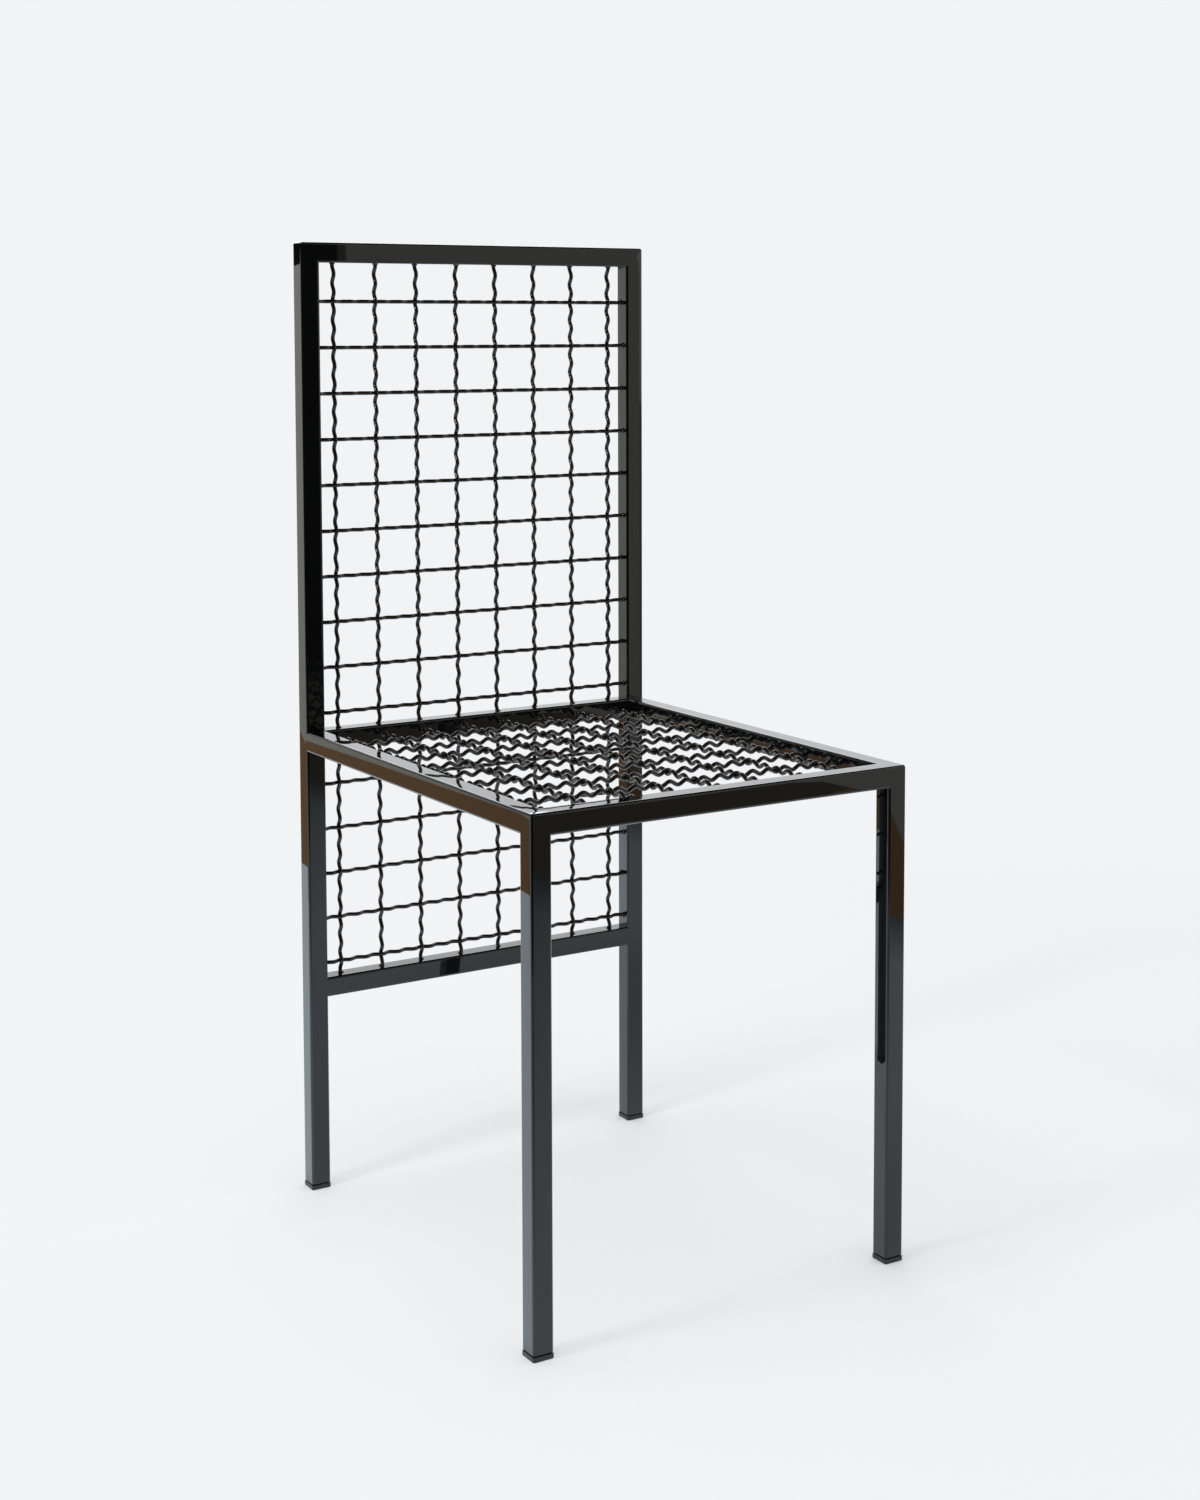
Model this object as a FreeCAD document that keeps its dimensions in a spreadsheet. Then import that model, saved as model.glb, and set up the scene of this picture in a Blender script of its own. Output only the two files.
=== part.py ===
import FreeCAD, Part
import math
import os

import Sketcher
from FreeCAD import Rotation, Vector

# Dining chair of square steel tube with three panels of woven, crimped wire.
# +Z is up and the floor is z = 0. The origin lies under the middle of the
# footprint, and the front faces -Y. Left and right are as seen from the front.
# Lengths are in millimetres.

SIZES = {
    # Frame of square tube, measured over the outer faces
    "frame_width": 396,
    "frame_depth": 466,
    "back_height": 951,
    "seat_height": 467,
    "lower_rail_height": 216,
    "tube_side": 20,
    "tube_wall": 1.5,
    "corner_cut": 1.05,
    # Push-in foot: a square head below the tube with a groove between them, a
    # hollow stem and its fins
    "foot_height": 6,
    "foot_overhang": 0.4,
    "foot_edge": 1,
    "groove_height": 1.2,
    "groove_depth": 1.2,
    "stem_length": 17,
    "stem_side": 12,
    "stem_wall": 2,
    "fin_count": 3,
    "fin_thickness": 1.2,
    "fin_spacing": 5,
    "fin_clearance": 0.15,
    # Woven wire panels
    "wire_diameter": 3.5,
    "mesh_spacing": 45.6,
    "waves_between_crossings": 2,
    "least_side_gap": 12,
    "back_first_row": 15.9,
    "seat_first_row": 20.4,
    "lower_first_row": 12.6,
}

# Side of the square section that has the area of the round wire
SECTION_SHARE = math.sqrt(math.pi) / 2

X_AXIS = Vector(1, 0, 0)
Y_AXIS = Vector(0, 1, 0)
Z_AXIS = Vector(0, 0, 1)

doc = FreeCAD.newDocument("MeshChair")
sheet = doc.addObject("Spreadsheet::Sheet", "Sizes")
for row, (alias, value) in enumerate(SIZES.items(), start=1):
    sheet.set(f"A{row}", alias)
    sheet.set(f"B{row}", str(value))
    sheet.setAlias(f"B{row}", alias)
doc.recompute()

nodes = []


def size(alias):
    """Value of one named cell."""
    return float(sheet.get(alias))


def turned(local_x, local_z):
    """Rotation that sends the local X and Z axes along the two directions."""
    return Rotation(local_x, local_z.cross(local_x), local_z, "ZXY")


def new_body(name):
    """Empty body for one physical piece."""
    body = doc.addObject("PartDesign::Body", name)
    body.Label = name
    return body


def place(body, rotation, x, y, z):
    """Turn a body and tie its position to the sheet by three expressions."""
    body.Placement.Rotation = rotation
    body.setExpression("Placement.Base.x", x)
    body.setExpression("Placement.Base.y", y)
    body.setExpression("Placement.Base.z", z)
    nodes.append(body)


def new_sketch(body, name, role):
    """Sketch on one of the body's own origin planes."""
    sketch = body.newObject("Sketcher::SketchObject", name)
    plane = next(item for item in body.Origin.OriginFeatures if item.Role == role)
    sketch.AttachmentSupport = [(plane, "")]
    sketch.MapMode = "FlatFace"
    return sketch


def add_loop(sketch, points):
    """Closed outline of straight lines through the points."""
    ends = points[1:] + points[:1]
    sketch.addGeometry([Part.LineSegment(start, end) for start, end in zip(points, ends)], False)


def join_corners(sketch, count):
    """Tie the end of each of the first lines to the start of the next."""
    for index in range(count):
        sketch.addConstraint(Sketcher.Constraint("Coincident", index, 2, (index + 1) % count, 1))


def add_named(sketch, name, expression, *constraint):
    """Add one dimension and tie it to the sheet."""
    index = sketch.addConstraint(Sketcher.Constraint(*constraint))
    sketch.renameConstraint(index, name)
    sketch.setExpression(f"Constraints.{name}", expression)


def square_sketch(body, name, side, expression):
    """Square on the XY plane, centred on the body's axis."""
    sketch = new_sketch(body, name, "XY_Plane")
    half = side / 2
    add_loop(sketch, [Vector(-half, -half), Vector(half, -half), Vector(half, half), Vector(-half, half)])
    join_corners(sketch, 4)
    for line in (0, 2):
        sketch.addConstraint(Sketcher.Constraint("Horizontal", line))
    for line in (1, 3):
        sketch.addConstraint(Sketcher.Constraint("Vertical", line))
    sketch.addConstraint(Sketcher.Constraint("Equal", 0, 1))
    sketch.addConstraint(Sketcher.Constraint("Symmetric", 0, 1, 1, 2, -1, 1))
    add_named(sketch, "side", expression, "DistanceX", 0, 1, 0, 2, side)
    return sketch


def pad(body, name, sketch, length):
    """Pad a sketch along its normal by an expression."""
    feature = body.newObject("PartDesign::Pad", name)
    feature.Profile = sketch
    feature.setExpression("Length", length)
    return feature


def cut_through(body, name, sketch):
    """Cut a sketch out of the whole body, both ways from its plane."""
    feature = body.newObject("PartDesign::Pocket", name)
    feature.Profile = sketch
    feature.Type = "ThroughAll"
    feature.SideType = "Symmetric"
    return feature


def bevel(body, name, base, keep, width):
    """Bevel the edges of a feature that the test keeps."""
    doc.recompute()
    edges = [f"Edge{index}" for index, edge in enumerate(base.Shape.Edges, start=1) if keep(edge)]
    feature = body.newObject("PartDesign::Chamfer", name)
    feature.Base = (base, edges)
    feature.setExpression("Size", width)
    return feature


def is_upright(edge):
    """Whether an edge runs along the body's Z axis."""
    start, end = (vertex.Point for vertex in (edge.Vertexes[0], edge.Vertexes[-1]))
    return abs((end - start).normalize().z) > 0.99


def is_lowest(edge):
    """Whether an edge lies in the body's base plane."""
    return all(abs(vertex.Z) < 0.001 for vertex in edge.Vertexes)


# Square tube, with its axis along the local +Z from z = 0


def mitre(body, name, length, at_end):
    """Cut one end at 45 degrees, shortest on the local +X face.

    The cutter is a right triangle whose long side is the mitre plane. It reaches
    one tube side past the tube all round.
    """
    side = size("tube_side")
    corner_z = length[0] + side if at_end else -side
    point_z = corner_z + (-3 if at_end else 3) * side
    corner = Vector(1.5 * side, corner_z)
    sketch = new_sketch(body, name + "Outline", "XZ_Plane")
    add_loop(sketch, [Vector(-1.5 * side, corner_z), corner, Vector(1.5 * side, point_z)])
    join_corners(sketch, 3)
    sketch.addConstraint(Sketcher.Constraint("Horizontal", 0))
    sketch.addConstraint(Sketcher.Constraint("Vertical", 1))
    sketch.addConstraint(Sketcher.Constraint("Equal", 0, 1))
    add_named(sketch, "leg", "3 * Sizes.tube_side", "Distance", 0, 3 * side)
    add_named(sketch, "across", "1.5 * Sizes.tube_side", "DistanceX", -1, 1, 0, 2, corner.x)
    if at_end:
        along = f"{length[1]} + Sizes.tube_side"
        add_named(sketch, "along", along, "DistanceY", -1, 1, 0, 2, corner.y)
    else:
        add_named(sketch, "along", "Sizes.tube_side", "DistanceY", 0, 2, -1, 1, side)
    return cut_through(body, name, sketch)


def tube(name, length, mitred_start=False, mitred_end=False):
    """Hollow square tube; length is its value and its expression.

    A narrow flat stands for each rounded corner of the drawn tube.
    """
    side = size("tube_side")
    bore = side - 2 * size("tube_wall")
    body = new_body(name)
    outside = pad(body, "Outside", square_sketch(body, "OutsideOutline", side, "Sizes.tube_side"), length[1])
    bevel(body, "Corners", outside, is_upright, "Sizes.corner_cut")
    bore_side = "Sizes.tube_side - 2 * Sizes.tube_wall"
    last = cut_through(body, "Bore", square_sketch(body, "BoreOutline", bore, bore_side))
    if mitred_start:
        last = mitre(body, "StartMitre", length, False)
    if mitred_end:
        last = mitre(body, "EndMitre", length, True)
    body.Tip = last
    return body


def along_x(inner):
    """Tube along +X whose short face looks along the inner direction."""
    return turned(inner, X_AXIS)


# Lengths and centre lines that the tubes share

SIDE_X = "(Sizes.frame_width - Sizes.tube_side) / 2"
SIDE_Y = "(Sizes.frame_depth - Sizes.tube_side) / 2"
HALF_SIDE = "Sizes.tube_side / 2"

FULL_WIDTH = (size("frame_width"), "Sizes.frame_width")
CLEAR_WIDTH = (size("frame_width") - 2 * size("tube_side"), "Sizes.frame_width - 2 * Sizes.tube_side")
SIDE_RAIL = (size("frame_depth") - size("tube_side"), "Sizes.frame_depth - Sizes.tube_side")
POST = (size("back_height") - size("foot_height"), "Sizes.back_height - Sizes.foot_height")
LEG = (
    size("seat_height") - size("tube_side") - size("foot_height"),
    "Sizes.seat_height - Sizes.tube_side - Sizes.foot_height",
)

# Side frames: a full height post, a seat rail butted to its front face, and a leg
# under the corner where the seat rail and the front rail are mitred together

for side_name, sign, inner in (("left", "-", X_AXIS), ("right", "", -X_AXIS)):
    x = sign + SIDE_X
    post = tube(f"{side_name}_rear_post", POST, mitred_end=True)
    place(post, turned(inner, Z_AXIS), x, SIDE_Y, "Sizes.foot_height")
    rail = tube(f"{side_name}_seat_rail", SIDE_RAIL, mitred_start=True)
    rail_z = f"Sizes.seat_height - {HALF_SIDE}"
    place(rail, turned(inner, Y_AXIS), x, "-Sizes.frame_depth / 2", rail_z)
    leg = tube(f"{side_name}_front_leg", LEG)
    place(leg, turned(X_AXIS, Z_AXIS), x, f"-{SIDE_Y}", "Sizes.foot_height")

# Rails across the chair

top_rail = tube("top_rail", FULL_WIDTH, mitred_start=True, mitred_end=True)
top_z = f"Sizes.back_height - {HALF_SIDE}"
place(top_rail, along_x(-Z_AXIS), "-Sizes.frame_width / 2", SIDE_Y, top_z)

front_rail = tube("front_seat_rail", FULL_WIDTH, mitred_start=True, mitred_end=True)
seat_z = f"Sizes.seat_height - {HALF_SIDE}"
place(front_rail, along_x(Y_AXIS), "-Sizes.frame_width / 2", f"-{SIDE_Y}", seat_z)

inner_left = "Sizes.tube_side - Sizes.frame_width / 2"
for name, height in (("rear_seat_rail", "seat_height"), ("lower_rear_rail", "lower_rail_height")):
    rail = tube(name, CLEAR_WIDTH)
    place(rail, along_x(-Z_AXIS), inner_left, SIDE_Y, f"Sizes.{height} - {HALF_SIDE}")


# Push-in feet, with their axis along the local +Z from the floor


def foot(name):
    """Square head below the tube end, a neck, and a hollow stem with fins in its bore."""
    body = new_body(name)
    side = size("tube_side") + 2 * size("foot_overhang")
    head_side = "Sizes.tube_side + 2 * Sizes.foot_overhang"
    head_height = "Sizes.foot_height - Sizes.groove_height"
    head = pad(body, "Head", square_sketch(body, "HeadOutline", side, head_side), head_height)
    corners = bevel(body, "HeadCorners", head, is_upright, "Sizes.corner_cut + Sizes.foot_overhang")
    bevel(body, "FloorEdge", corners, is_lowest, "Sizes.foot_edge")

    neck_side = size("tube_side") - 2 * size("groove_depth")
    neck_expression = "Sizes.tube_side - 2 * Sizes.groove_depth"
    neck_outline = square_sketch(body, "NeckOutline", neck_side, neck_expression)
    pad(body, "Neck", neck_outline, "Sizes.foot_height")

    stem_outline = square_sketch(body, "StemOutline", size("stem_side"), "Sizes.stem_side")
    pad(body, "Stem", stem_outline, "Sizes.foot_height + Sizes.stem_length")

    fin_side = size("tube_side") - 2 * (size("tube_wall") + size("fin_clearance"))
    fin_expression = "Sizes.tube_side - 2 * (Sizes.tube_wall + Sizes.fin_clearance)"
    fin_outline = square_sketch(body, "FinOutline", fin_side, fin_expression)
    first_fin = "Sizes.foot_height + Sizes.stem_length - (Sizes.fin_count - 1) * Sizes.fin_spacing"
    fin_outline.setExpression("AttachmentOffset.Base.z", f"{first_fin} - 2 * Sizes.fin_thickness")
    fin = pad(body, "Fin", fin_outline, "Sizes.fin_thickness")
    fins = body.newObject("PartDesign::LinearPattern", "Fins")
    fins.Originals = [fin]
    fins.Direction = (fin_outline, ["N_Axis"])
    fins.Mode = "Spacing"
    fins.setExpression("Offset", "Sizes.fin_spacing")
    fins.setExpression("Occurrences", "Sizes.fin_count")
    body.Tip = fins

    hollow_side = size("stem_side") - 2 * size("stem_wall")
    hollow = "Sizes.stem_side - 2 * Sizes.stem_wall"
    hollow_outline = square_sketch(body, "HollowOutline", hollow_side, hollow)
    hollow_outline.setExpression("AttachmentOffset.Base.z", "Sizes.foot_height")
    hollow_cut = body.newObject("PartDesign::Pocket", "Hollow")
    hollow_cut.Profile = hollow_outline
    hollow_cut.Reversed = True
    hollow_cut.setExpression("Length", "Sizes.stem_length")
    body.Tip = hollow_cut
    return body


for side_name, sign_x in (("left", "-"), ("right", "")):
    for end_name, sign_y in (("front", "-"), ("rear", "")):
        corner_foot = foot(f"{side_name}_{end_name}_foot")
        place(corner_foot, turned(X_AXIS, Z_AXIS), sign_x + SIDE_X, sign_y + SIDE_Y, "0")


# Woven wire. Every wire is crimped in a zigzag of even half waves. Each crossing
# lies on a crest of both wires, and an odd number of half waves lies between two
# crossings, so that a wire passes over and under in turn. The section is a square
# with the area of the round wire.


def zigzag(along, crest, half_wave, first_side):
    """Offset of the wire's centre line: a straight run between each two crests."""
    phase = (along - crest) / half_wave
    step = math.floor(phase)
    share = phase - step
    level = first_side * (-1) ** (step % 2) * (1 - 2 * share)
    return level * size("wire_diameter") / 2


def crimped_wire(name, length, crest, half_wave, first_side):
    """Wire along the local +X from x = 0, crimped in the local XY plane.

    crest is a place where the wire is at a crest, on the side that first_side
    gives. The ends are cut square, to lie flat on the tubes.
    """
    first = math.ceil(-crest / half_wave)
    last = math.floor((length - crest) / half_wave)
    crests = [crest + step * half_wave for step in range(first, last + 1)]
    shortest = size("wire_diameter") / 10
    inner = [place_x for place_x in crests if shortest < place_x < length - shortest]
    places = [0, *inner, length]
    section = size("wire_diameter") * SECTION_SHARE
    slope = math.atan2(size("wire_diameter"), half_wave)
    half_depth = section / math.cos(slope) / 2
    line = [(place_x, zigzag(place_x, crest, half_wave, first_side)) for place_x in places]
    above = [Vector(place_x, level + half_depth) for place_x, level in line]
    below = [Vector(place_x, level - half_depth) for place_x, level in line]

    body = new_body(name)
    outline = new_sketch(body, "Crimps", "XY_Plane")
    add_loop(outline, below + above[::-1])
    wire = pad(body, "Wire", outline, f"Sizes.wire_diameter * {SECTION_SHARE}")
    wire.SideType = "Symmetric"
    body.Tip = wire
    return body


def crossings(length, first):
    """Places of the rows of wire from the first to the last that fits."""
    spacing = size("mesh_spacing")
    count = math.floor((length - first - size("wire_diameter")) / spacing) + 1
    return [first + index * spacing for index in range(count)]


def panel(uprights, rows, width, length, columns, row_places, waves, frame):
    """Weave one panel and return its bodies as two lists.

    uprights and rows are the two families' names. frame gives the panel's left
    corner as three expressions, the direction in which the uprights run, and the
    panel's normal. The first upright passes behind or below the first row.
    """
    (x, y, z), direction, normal = frame
    half_wave = size("mesh_spacing") / (2 * waves + 1)
    woven = ([], [])
    for index, column in enumerate(columns):
        side = -((-1) ** index)
        wire = crimped_wire(f"{uprights}_{index + 1}", length, row_places[0], half_wave, side)
        rotation = turned(direction, direction.cross(normal))
        place(wire, rotation, f"{x} + {column}", y, z)
        woven[0].append(wire)
    for index, row_place in enumerate(row_places):
        side = (-1) ** index
        wire = crimped_wire(f"{rows}_{index + 1}", width, columns[0], half_wave, side)
        rotation = turned(X_AXIS, X_AXIS.cross(normal))
        shift = direction * row_place
        place(wire, rotation, x, f"{y} + {shift.y}", f"{z} + {shift.z}")
        woven[1].append(wire)
    return woven


clear_width = CLEAR_WIDTH[0]
spacing = size("mesh_spacing")
column_count = math.floor((clear_width - 2 * size("least_side_gap")) / spacing) + 1
first_column = (clear_width - (column_count - 1) * spacing) / 2
columns = [first_column + index * spacing for index in range(column_count)]

back_length = size("back_height") - size("tube_side") - size("seat_height")
lower_length = size("seat_height") - size("tube_side") - size("lower_rail_height")
seat_length = size("frame_depth") - 2 * size("tube_side")

back_frame = ((inner_left, SIDE_Y, "Sizes.seat_height"), Z_AXIS, Y_AXIS)
back_rows = crossings(back_length, size("back_first_row"))
waves = size("waves_between_crossings")
panel("back_upright_wire", "back_cross_wire", clear_width, back_length, columns, back_rows, waves, back_frame)

seat_front = "Sizes.tube_side - Sizes.frame_depth / 2"
seat_frame = ((inner_left, seat_front, seat_z), Y_AXIS, Z_AXIS)
seat_rows = crossings(seat_length, size("seat_first_row"))
panel("seat_long_wire", "seat_cross_wire", clear_width, seat_length, columns, seat_rows, waves, seat_frame)

# The lower panel has the plain weave only, with no crimps between its crossings,
# and its cross wires share one node

lower_frame = ((inner_left, SIDE_Y, "Sizes.lower_rail_height"), Z_AXIS, Y_AXIS)
lower_rows = crossings(lower_length, size("lower_first_row"))
lower_cross_wires = panel(
    "lower_upright_wire", "lower_cross_wire", clear_width, lower_length, columns, lower_rows, 0, lower_frame
)[1]
lower_cross = doc.addObject("Part::Compound", "lower_cross_wires")
lower_cross.Label = "lower_cross_wires"
lower_cross.Links = lower_cross_wires
nodes = [node for node in nodes if node not in lower_cross_wires]
nodes.append(lower_cross)

doc.recompute()

# Every feature and piece has to be sound before anything is written

for item in doc.Objects:
    if "Invalid" in item.State or "Error" in item.State:
        raise RuntimeError(f"{item.Label} failed: {item.State}")
for node in nodes:
    if node.Shape.isNull() or not node.Shape.isValid():
        raise RuntimeError(f"{node.Label} has no valid shape")

os.makedirs("parts", exist_ok=True)
for node in nodes:
    node.Shape.exportStep(f"parts/{node.Label}.step")
print(f"{len(nodes)} pieces written")
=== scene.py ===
"""Looks of the dining chair of square tube and woven, crimped wire.

Lengths are in metres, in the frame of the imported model: +Z is up, the floor is
z = 0 and the chair's front faces -Y. Left and right are as seen from the front.
"""

import itertools
import logging
import math
from dataclasses import dataclass
from enum import Enum

import bmesh
import bpy
from bmesh.types import BMEdge, BMesh, BMVert
from bpy.types import Material, Node, NodeSocket, NodeTree, Object, World
from mathutils import Matrix, Vector, noise


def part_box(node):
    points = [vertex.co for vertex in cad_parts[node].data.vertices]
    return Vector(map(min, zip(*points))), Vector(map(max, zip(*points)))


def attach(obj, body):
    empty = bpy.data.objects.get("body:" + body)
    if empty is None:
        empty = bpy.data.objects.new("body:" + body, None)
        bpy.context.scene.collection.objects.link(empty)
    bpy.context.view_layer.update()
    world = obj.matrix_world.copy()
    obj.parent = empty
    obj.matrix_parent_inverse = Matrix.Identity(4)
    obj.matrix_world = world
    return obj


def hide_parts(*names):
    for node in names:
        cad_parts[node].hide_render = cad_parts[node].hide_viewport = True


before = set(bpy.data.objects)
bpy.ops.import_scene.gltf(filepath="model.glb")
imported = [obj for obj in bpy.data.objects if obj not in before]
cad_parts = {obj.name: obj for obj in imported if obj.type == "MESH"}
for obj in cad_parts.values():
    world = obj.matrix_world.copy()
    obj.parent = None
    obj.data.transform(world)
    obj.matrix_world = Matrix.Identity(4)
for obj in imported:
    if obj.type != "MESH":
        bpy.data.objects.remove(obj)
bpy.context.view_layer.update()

log = logging.getLogger("mesh_chair")

MM = 0.001
X_AXIS = Vector((1, 0, 0))
Y_AXIS = Vector((0, 1, 0))
Z_AXIS = Vector((0, 0, 1))

# An edge is a fold above this angle in radians, and a face looks along an axis
# above this cosine
FOLD = 1.0
FACING = 0.9

# Sockets of the Mix node when it mixes colours
MIX_A, MIX_B, MIX_RESULT = 6, 7, 2

Place = tuple[float, float, float]
Span = tuple[float, float]


class Slot(Enum):
    """Material slots of the record."""

    FRAME = "frame_enamel"
    WIRE = "wire_enamel"
    FOOT = "foot_plastic"


# Helpers for materials and meshes


def linear(colour: str) -> tuple[float, float, float, float]:
    """Linear value of a colour.

    Args:
        colour: sRGB hex value such as "#1a1918".

    Returns:
        Linear red, green and blue, and an alpha of 1.
    """
    shares = [int(colour[start : start + 2], 16) / 255 for start in (1, 3, 5)]
    red, green, blue = (s / 12.92 if s <= 0.04045 else ((s + 0.055) / 1.055) ** 2.4 for s in shares)
    return red, green, blue, 1.0


def per_size(millimetres: float) -> float:
    """Scale of a texture whose features are so many millimetres wide."""
    return 1 / (millimetres * MM)


def add_node(
    tree: NodeTree,
    kind: str,
    inputs: dict[str | int, object] | None = None,
    **settings: object,
) -> Node:
    """Add one node to a tree.

    Args:
        tree: Tree that gets the node.
        kind: Blender's name of the node's type.
        inputs: Value of each input by name or number, or the socket linked to it.
        settings: Properties of the node.

    Returns:
        The new node.
    """
    node = tree.nodes.new(kind)
    for name, value in settings.items():
        setattr(node, name, value)
    for key, value in (inputs or {}).items():
        if isinstance(value, NodeSocket):
            tree.links.new(value, node.inputs[key])
        else:
            node.inputs[key].default_value = value
    return node


def new_tree(owner: Material | World) -> NodeTree:
    """Empty the node tree of a material or a world.

    Args:
        owner: The material or world.

    Returns:
        Its tree, without nodes.
    """
    owner.use_nodes = True
    owner.node_tree.nodes.clear()
    return owner.node_tree


def sight_lines(tree: NodeTree) -> tuple[NodeSocket, NodeSocket]:
    """Tell apart the two ways in which a surface is seen.

    Args:
        tree: Tree that gets the nodes.

    Returns:
        A value of 1 where the camera looks at the surface itself, and a value of 1
        where the surface shows in gloss or through glass.
    """
    path = add_node(tree, "ShaderNodeLightPath")
    gloss = {0: path.outputs["Is Glossy Ray"], 1: path.outputs["Is Transmission Ray"]}
    either = add_node(tree, "ShaderNodeMath", gloss, operation="MAXIMUM")
    return path.outputs["Is Camera Ray"], either.outputs[0]


def keep_inside(shape: BMesh, point: Vector, outward: Vector) -> None:
    """Cut a mesh on a plane and keep the part behind the plane.

    Args:
        shape: Mesh to cut.
        point: Point on the plane.
        outward: Direction in which the mesh is cleared.
    """
    everything = [*shape.verts, *shape.edges, *shape.faces]
    bmesh.ops.bisect_plane(
        shape, geom=everything, dist=1e-8, plane_co=point, plane_no=outward, clear_outer=True
    )


def block(shape: BMesh, low: Vector, high: Vector) -> None:
    """Add a box between two corners to a mesh."""
    place = Matrix.Translation((low + high) / 2) @ Matrix.Diagonal((*(high - low), 1))
    bmesh.ops.create_cube(shape, size=1, matrix=place)


def round_edges(shape: BMesh, edges: list[BMEdge], radius: float, segments: int) -> None:
    """Round some edges of a mesh.

    Args:
        shape: Mesh that has the edges.
        edges: Edges to round.
        radius: Radius of the rounding.
        segments: Faces across it.
    """
    bmesh.ops.bevel(
        shape,
        geom=edges,
        offset=radius,
        offset_type="OFFSET",
        segments=segments,
        profile=0.5,
        affect="EDGES",
        clamp_overlap=False,
        material=-1,
    )


def shade(shape: BMesh, sharp_from: float) -> None:
    """Shade a mesh smooth up to its sharp edges.

    Args:
        shape: Mesh to shade.
        sharp_from: Angle in degrees from which an edge is sharp.
    """
    limit = math.radians(sharp_from)
    for face in shape.faces:
        face.smooth = True
    for edge in shape.edges:
        edge.smooth = edge.calc_face_angle(math.pi) < limit


def add_object(name: str, shape: BMesh, material: Material) -> Object:
    """Turn a mesh into an object of the scene.

    Args:
        name: Name of the object.
        shape: Its mesh, which is freed.
        material: Material of all its faces.

    Returns:
        The object.
    """
    mesh = bpy.data.meshes.new(name)
    shape.to_mesh(mesh)
    shape.free()
    mesh.materials.append(material)
    made = bpy.data.objects.new(name, mesh)
    bpy.context.scene.collection.objects.link(made)
    return made


def finish_piece(name: str, shape: BMesh, material: Material, slot: Slot, replaced: str) -> Object:
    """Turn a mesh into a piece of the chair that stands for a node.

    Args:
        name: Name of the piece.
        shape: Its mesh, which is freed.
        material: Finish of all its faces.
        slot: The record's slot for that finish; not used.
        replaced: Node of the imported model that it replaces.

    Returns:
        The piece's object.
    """
    piece = add_object(name, shape, material)
    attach(piece, "root")
    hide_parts(replaced)
    log.info("%s: %d faces", name, len(piece.data.polygons))
    return piece


# Finishes


@dataclass(frozen=True)
class GlossPowderCoat:
    """Gloss black powder coat on steel, sprayed and baked.

    To the eye it is a deep black that mirrors the room at a low angle, with the
    faint orange peel of the baked powder, the slight waviness of rolled tube, and
    hazier patches where it was handled. Widths and heights are in millimetres.
    """

    name: str
    colour: str
    pooled_colour: str
    peel_width: float
    peel_height: float
    wave_height: float
    least_roughness: float
    most_roughness: float
    index: float
    top_layer: float
    top_roughness: float = 0.01
    top_index: float = 1.4
    wave_width: float = 70.0
    handled_width: float = 25.0
    handled_span: Span = (0.35, 0.65)

    def material(self) -> Material:
        """Make the node material of the coat.

        Returns:
            The new material.
        """
        made = bpy.data.materials.new(self.name)
        tree = new_tree(made)
        place = add_node(tree, "ShaderNodeTexCoord").outputs["Object"]
        widths = (self.peel_width, self.wave_width, self.handled_width)
        peel, waves, handling = (
            add_node(
                tree,
                "ShaderNodeTexNoise",
                {"Vector": place, "Scale": per_size(width), "Detail": detail},
            ).outputs[0]
            for width, detail in zip(widths, (1.0, 1.0, 4.0))
        )
        haze = add_node(
            tree,
            "ShaderNodeMapRange",
            {
                "Value": handling,
                "From Min": self.handled_span[0],
                "From Max": self.handled_span[1],
                "To Min": self.least_roughness,
                "To Max": self.most_roughness,
            },
        )
        tint = add_node(
            tree,
            "ShaderNodeMix",
            {0: peel, MIX_A: linear(self.colour), MIX_B: linear(self.pooled_colour)},
            data_type="RGBA",
        )
        flatness = add_node(
            tree,
            "ShaderNodeBump",
            {"Height": waves, "Distance": self.wave_height * MM, "Strength": 1.0},
        )
        surface = add_node(
            tree,
            "ShaderNodeBump",
            {
                "Height": peel,
                "Distance": self.peel_height * MM,
                "Strength": 1.0,
                "Normal": flatness.outputs[0],
            },
        )
        coat = add_node(
            tree,
            "ShaderNodeBsdfPrincipled",
            {
                "Base Color": tint.outputs[MIX_RESULT],
                "Roughness": haze.outputs[0],
                "IOR": self.index,
                "Coat Weight": self.top_layer,
                "Coat Roughness": self.top_roughness,
                "Coat IOR": self.top_index,
                "Normal": surface.outputs[0],
                "Coat Normal": surface.outputs[0],
            },
        )
        add_node(tree, "ShaderNodeOutputMaterial", {"Surface": coat.outputs[0]})
        return made


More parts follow.
